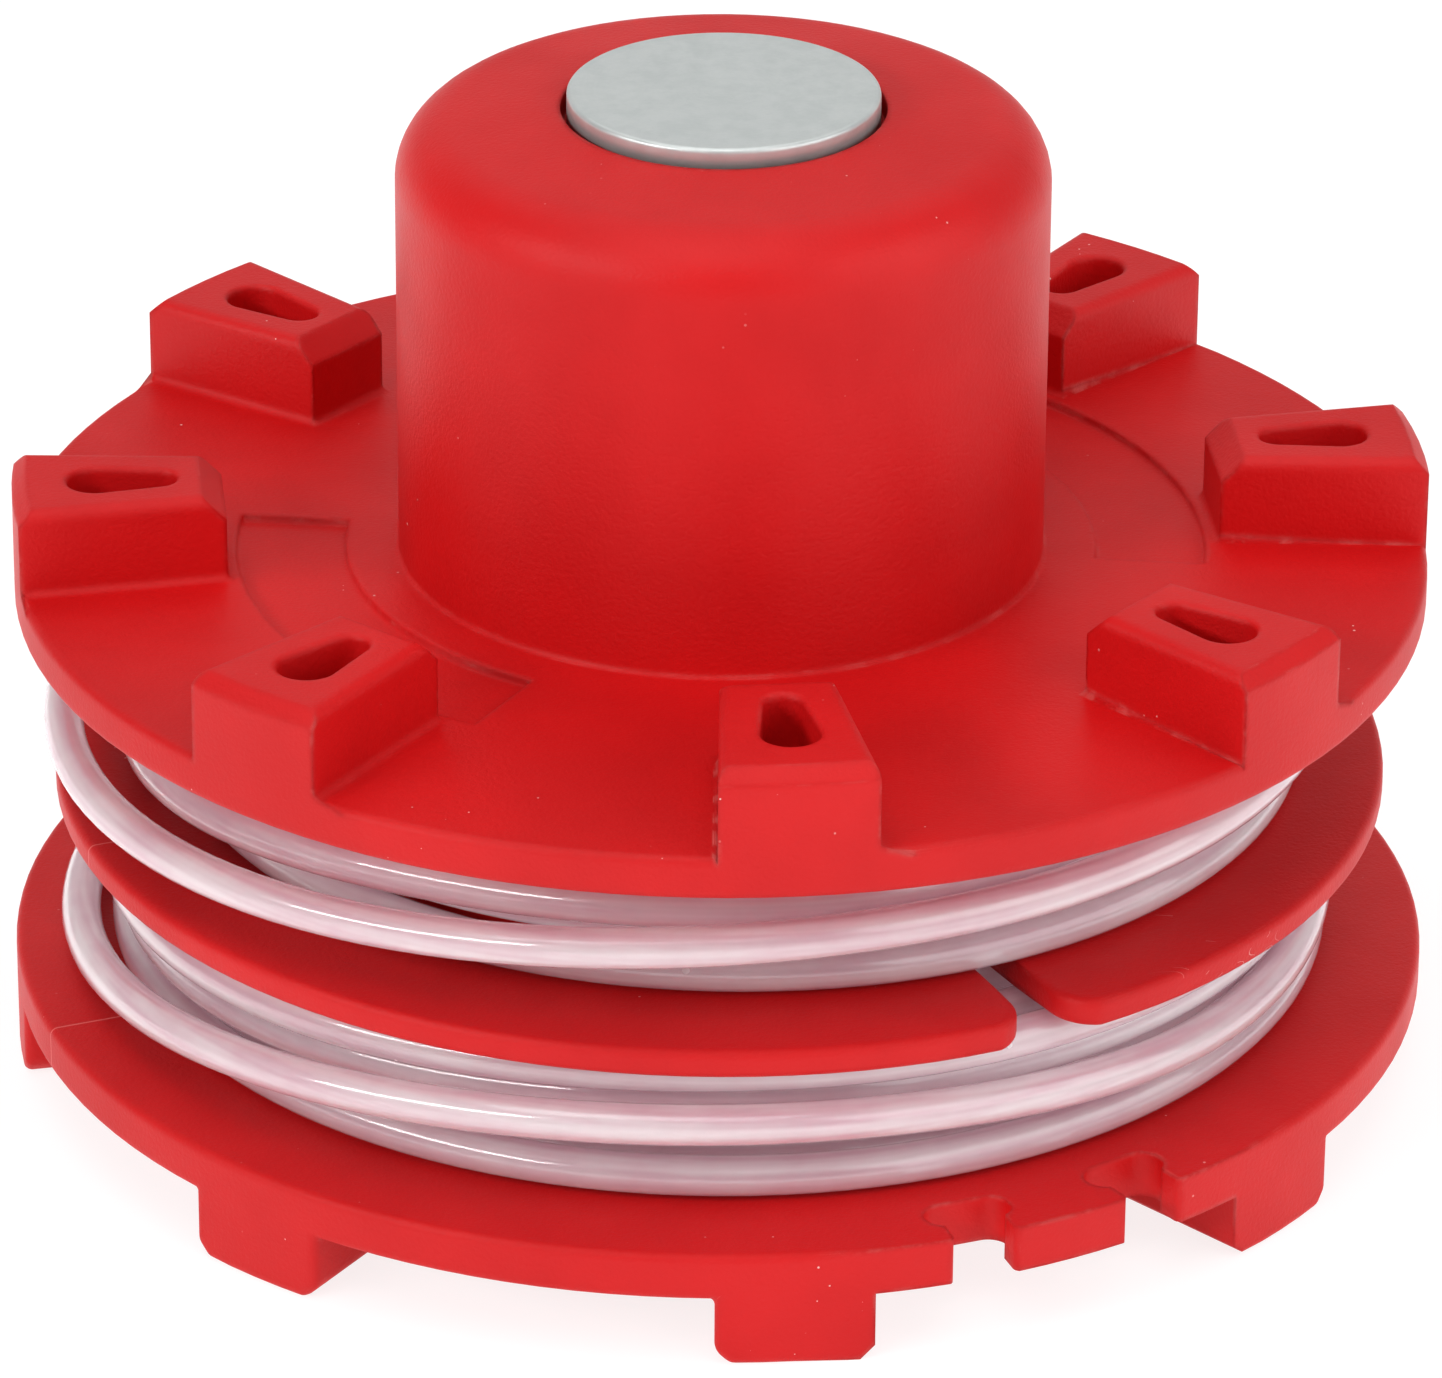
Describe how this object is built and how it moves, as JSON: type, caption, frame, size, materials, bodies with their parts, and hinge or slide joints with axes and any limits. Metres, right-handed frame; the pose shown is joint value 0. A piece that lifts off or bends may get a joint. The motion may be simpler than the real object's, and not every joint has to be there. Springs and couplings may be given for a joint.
{
  "type": "trimmer line spool",
  "caption": "Red moulded line spool for a grass trimmer head: three flanges, slotted lugs, a domed tap knob with a steel wear disc, and clear nylon line wound in both chambers.",
  "frame": {"origin": "on the spool's axis, in the plane of the lower lugs' feet", "axes": "+Z along the spool's axis towards the wear disc, -Y towards the viewer of the picture"},
  "size_m": [0.0892, 0.0892, 0.0636],
  "materials": {
    "red_moulding": "fine matt mould texture",
    "plated_steel": "zinc plated, faintly turned",
    "clear_line": "translucent extruded nylon"
  },
  "bodies": {
    "root": {"spool_body": "red_moulding", "wear_disc": "plated_steel", "trimmer_line": "clear_line"}
  },
  "joints": []
}
